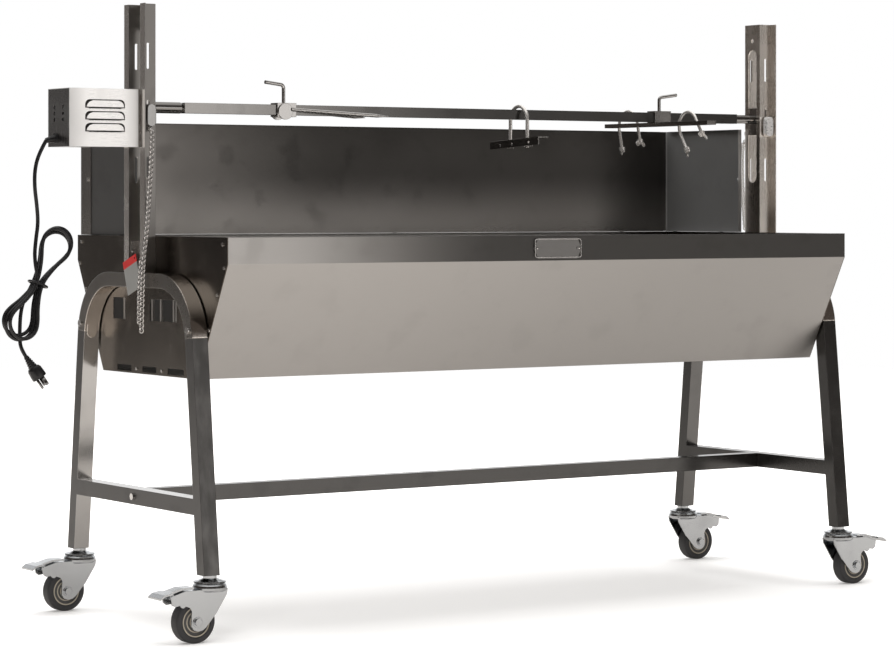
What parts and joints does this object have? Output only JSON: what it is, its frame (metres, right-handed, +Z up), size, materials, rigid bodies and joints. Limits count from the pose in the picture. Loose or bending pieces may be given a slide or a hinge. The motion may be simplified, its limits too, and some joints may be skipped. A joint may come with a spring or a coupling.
{
  "type": "rotisserie spit roaster",
  "caption": "Wheeled charcoal trough on leg frames with slotted end posts, a motor-driven square spit with clamps, and a wind guard.",
  "frame": {"origin": "on the floor under the middle of the machine's box, the cord left out", "axes": "+X along the spit, away from the motor; +Y from the open front to the wind guard; +Z up"},
  "size_m": [1.7805, 0.5724, 1.118],
  "materials": {
    "trough_sheet": "brushed stainless sheet",
    "end_sheet": "brushed stainless sheet, heat-toned",
    "guard_sheet": "brushed stainless sheet",
    "badge": "satin",
    "grate_steel": "drawn wire, dull",
    "fasteners": "plain steel",
    "post_steel": "brushed stainless",
    "arch_tube": "polished stainless tube",
    "frame_tube": "satin stainless tube",
    "caster_zinc": "bright zinc plate",
    "caster_rubber": "dark grey rubber on a pale hub",
    "pedal_steel": "bright zinc plate",
    "tag_card": "laminated card, blank",
    "motor_sheet": "brushed stainless sheet",
    "carriage_steel": "machined",
    "motor_metal": "machined steel",
    "cord_rubber": "black, semi-matt",
    "knob_metal": "polished",
    "chain_metal": "bright",
    "spit_steel": "drawn stainless bar",
    "clamp_steel": "stainless",
    "bolt_steel": "bright stainless"
  },
  "bodies": {
    "stand": {"hopper_shell": "trough_sheet", "end_panel_left": "end_sheet", "end_panel_right": "end_sheet", "grate_hangers": "grate_steel", "charcoal_grate": "grate_steel", "name_plate": "badge", "windguard_back": "guard_sheet", "windguard_left": "guard_sheet", "windguard_right": "guard_sheet", "sheet_fasteners": "fasteners", "post_left": "post_steel", "post_right": "post_steel", "post_brackets": "fasteners", "frame_bolts": "fasteners", "arch_left": "arch_tube", "arch_right": "arch_tube", "leg_frame_left": "frame_tube", "leg_frame_right": "frame_tube", "long_stretcher": "frame_tube", "caster_stems": "caster_zinc", "blank_tag": "tag_card"},
    "motor_carriage": {"carriage_left": "carriage_steel", "motor_housing": "motor_sheet", "motor_end_cover": "motor_sheet", "gearmotor": "motor_metal", "strain_relief": "cord_rubber", "power_cord": "cord_rubber", "cord_hank": "cord_rubber", "cord_tie": "cord_rubber", "power_plug": "cord_rubber", "chain_left": "chain_metal"},
    "bearing_carriage": {"carriage_right": "carriage_steel", "chain_right": "chain_metal"},
    "left_knob": {"knob_left": "knob_metal"},
    "right_knob": {"knob_right": "knob_metal"},
    "spit": {"spit_bar": "spit_steel", "drive_socket": "motor_metal"},
    "reduction": {"reduction_gear": "motor_metal"},
    "rotor": {"rotor_pinion": "motor_metal"},
    "meat_fork": {"spit_fork": "clamp_steel"},
    "meat_fork_screw": {"fork_screw": "clamp_steel"},
    "leg_clamp": {"leg_clamp_bar": "clamp_steel", "leg_u_bolts": "bolt_steel", "leg_wing_nuts": "bolt_steel"},
    "leg_clamp_handle": {"leg_clamp_screw": "clamp_steel"},
    "spine_brace": {"brace_u_bolt": "bolt_steel", "brace_plate": "clamp_steel", "brace_wing_nuts": "bolt_steel"},
    "caster_front_left": {"caster_fork_front_left": "caster_zinc"},
    "wheel_front_left": {"caster_wheel_front_left": "caster_rubber"},
    "pedal_front_left": {"caster_pedal_front_left": "pedal_steel"},
    "caster_rear_left": {"caster_fork_rear_left": "caster_zinc"},
    "wheel_rear_left": {"caster_wheel_rear_left": "caster_rubber"},
    "pedal_rear_left": {"caster_pedal_rear_left": "pedal_steel"},
    "caster_front_right": {"caster_fork_front_right": "caster_zinc"},
    "wheel_front_right": {"caster_wheel_front_right": "caster_rubber"},
    "pedal_front_right": {"caster_pedal_front_right": "pedal_steel"},
    "caster_rear_right": {"caster_fork_rear_right": "caster_zinc"},
    "wheel_rear_right": {"caster_wheel_rear_right": "caster_rubber"},
    "pedal_rear_right": {"caster_pedal_rear_right": "pedal_steel"}
  },
  "joints": [
    {"name": "lift_left", "type": "slide", "parent": "stand", "child": "motor_carriage", "axis": [0, 0, 1], "range_m": [-0.007, 0.024]},
    {"name": "lift_right", "type": "slide", "parent": "stand", "child": "bearing_carriage", "axis": [0, 0, 1], "range_m": [-0.007, 0.024]},
    {"name": "spit_spin", "type": "hinge", "parent": "motor_carriage", "child": "spit", "pos_m": [0.02425, 0.00125, 0.925], "axis": [1, 0, 0], "continuous": true},
    {"name": "reduction_spin", "type": "hinge", "parent": "motor_carriage", "child": "reduction", "pos_m": [-0.71575, 0.01965, 0.9096], "axis": [1, 0, 0], "continuous": true},
    {"name": "rotor_spin", "type": "hinge", "parent": "motor_carriage", "child": "rotor", "pos_m": [-0.72575, 0.04215, 0.8966], "axis": [1, 0, 0], "continuous": true},
    {"name": "fork_slide", "type": "slide", "parent": "spit", "child": "meat_fork", "axis": [1, 0, 0], "range_m": [-0.14, 0.16]},
    {"name": "fork_screw_turn", "type": "hinge", "parent": "meat_fork", "child": "meat_fork_screw", "pos_m": [-0.39175, 0.00125, 0.945], "axis": [0, 0, 1], "range_deg": [-90, 90]},
    {"name": "leg_clamp_slide", "type": "slide", "parent": "spit", "child": "leg_clamp", "axis": [1, 0, 0], "range_m": [-0.08, 0.1]},
    {"name": "leg_clamp_screw_turn", "type": "hinge", "parent": "leg_clamp", "child": "leg_clamp_handle", "pos_m": [0.47825, 0.00125, 0.945], "axis": [0, 0, 1], "range_deg": [-90, 90]},
    {"name": "brace_slide", "type": "slide", "parent": "spit", "child": "spine_brace", "axis": [1, 0, 0], "range_m": [-0.14, 0.2]},
    {"name": "left_knob_turn", "type": "hinge", "parent": "motor_carriage", "child": "left_knob", "pos_m": [-0.68475, -0.02875, 0.91], "axis": [0, 1, 0], "range_deg": [-20, 20]},
    {"name": "right_knob_turn", "type": "hinge", "parent": "bearing_carriage", "child": "right_knob", "pos_m": [0.73325, -0.02875, 0.91], "axis": [0, 1, 0], "range_deg": [-20, 20]},
    {"name": "swivel_front_left", "type": "hinge", "parent": "stand", "child": "caster_front_left", "pos_m": [-0.68425, -0.24725, 0.1], "axis": [0, 0, 1], "continuous": true},
    {"name": "roll_front_left", "type": "hinge", "parent": "caster_front_left", "child": "wheel_front_left", "pos_m": [-0.71725, -0.24725, 0.0375], "axis": [0, 1, 0], "continuous": true},
    {"name": "brake_front_left", "type": "hinge", "parent": "caster_front_left", "child": "pedal_front_left", "pos_m": [-0.75025, -0.24725, 0.078], "axis": [0, -1, 0], "range_deg": [0, 8]},
    {"name": "swivel_rear_left", "type": "hinge", "parent": "stand", "child": "caster_rear_left", "pos_m": [-0.68425, 0.24975, 0.1], "axis": [0, 0, 1], "continuous": true},
    {"name": "roll_rear_left", "type": "hinge", "parent": "caster_rear_left", "child": "wheel_rear_left", "pos_m": [-0.71725, 0.24975, 0.0375], "axis": [0, 1, 0], "continuous": true},
    {"name": "brake_rear_left", "type": "hinge", "parent": "caster_rear_left", "child": "pedal_rear_left", "pos_m": [-0.75025, 0.24975, 0.078], "axis": [0, -1, 0], "range_deg": [0, 8]},
    {"name": "swivel_front_right", "type": "hinge", "parent": "stand", "child": "caster_front_right", "pos_m": [0.73275, -0.24725, 0.1], "axis": [0, 0, 1], "continuous": true},
    {"name": "roll_front_right", "type": "hinge", "parent": "caster_front_right", "child": "wheel_front_right", "pos_m": [0.76575, -0.24725, 0.0375], "axis": [0, 1, 0], "continuous": true},
    {"name": "brake_front_right", "type": "hinge", "parent": "caster_front_right", "child": "pedal_front_right", "pos_m": [0.79875, -0.24725, 0.078], "axis": [0, 1, 0], "range_deg": [0, 8]},
    {"name": "swivel_rear_right", "type": "hinge", "parent": "stand", "child": "caster_rear_right", "pos_m": [0.73275, 0.24975, 0.1], "axis": [0, 0, 1], "continuous": true},
    {"name": "roll_rear_right", "type": "hinge", "parent": "caster_rear_right", "child": "wheel_rear_right", "pos_m": [0.76575, 0.24975, 0.0375], "axis": [0, 1, 0], "continuous": true},
    {"name": "brake_rear_right", "type": "hinge", "parent": "caster_rear_right", "child": "pedal_rear_right", "pos_m": [0.79875, 0.24975, 0.078], "axis": [0, 1, 0], "range_deg": [0, 8]}
  ],
  "couplings": [
    {"joint": "lift_right", "follows": "lift_left", "ratio": 1},
    {"joint": "reduction_spin", "follows": "spit_spin", "ratio": -2.4286},
    {"joint": "rotor_spin", "follows": "spit_spin", "ratio": 8.0952}
  ]
}
